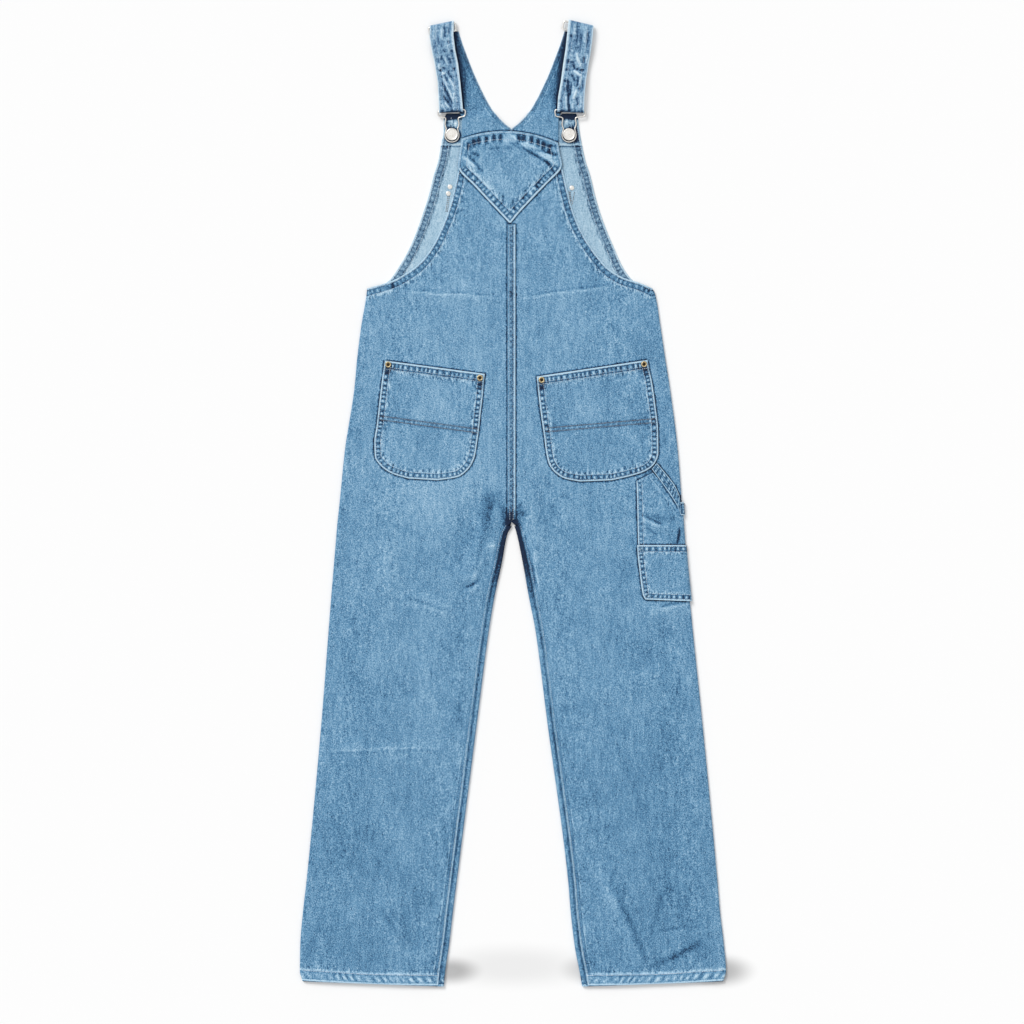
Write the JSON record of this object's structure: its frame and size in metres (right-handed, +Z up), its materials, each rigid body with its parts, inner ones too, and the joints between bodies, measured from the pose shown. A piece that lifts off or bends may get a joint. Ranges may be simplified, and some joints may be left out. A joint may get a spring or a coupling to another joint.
{
  "type": "denim bib overalls",
  "caption": "Denim bib overalls laid flat on their front, back up: two legs, bib, crossed shoulder straps with buckles, hip pockets, tool pocket and hammer loop.",
  "frame": {"origin": "middle of the box that the laid-out garment fills, on the surface that it lies on", "axes": "+Y up the garment from its hems to its straps, +X to the right seen from above (the wearer's right), +Z up from the surface"},
  "size_m": [0.6386, 1.449, 0.0102],
  "materials": {
    "washed_denim": "twill cotton denim, stone washed, matt",
    "denim_reverse": "reverse of the twill, paler and greyer, matt",
    "worn_denim": "doubled denim, abraded pale along its edges, matt",
    "nickel_plated_steel": "bright nickel plate, slightly worn",
    "antique_brass": "darkened brass, satin"
  },
  "bodies": {
    "root": {"front_left": "washed_denim", "front_right": "washed_denim", "back_left": "washed_denim", "back_right": "washed_denim", "centre_back_seam": "washed_denim", "back_patch": "washed_denim", "shoulder_strap_left": "washed_denim", "shoulder_strap_right": "washed_denim", "hip_pocket_left": "washed_denim", "hip_pocket_right": "washed_denim", "side_pocket_panel": "washed_denim", "tool_pocket": "washed_denim", "hammer_loop": "washed_denim", "bib_pocket": "washed_denim", "bib": "denim_reverse", "wide_strap_left": "worn_denim", "wide_strap_right": "worn_denim", "slider_left": "nickel_plated_steel", "slider_right": "nickel_plated_steel", "buckle_left": "nickel_plated_steel", "buckle_right": "nickel_plated_steel", "button_left": "nickel_plated_steel", "button_right": "nickel_plated_steel", "bib_rivet_left": "nickel_plated_steel", "bib_rivet_left_lower": "nickel_plated_steel", "bib_rivet_right": "nickel_plated_steel", "rivet_left_outer": "antique_brass", "rivet_left_inner": "antique_brass", "rivet_right_inner": "antique_brass", "rivet_right_outer": "antique_brass"}
  },
  "joints": []
}
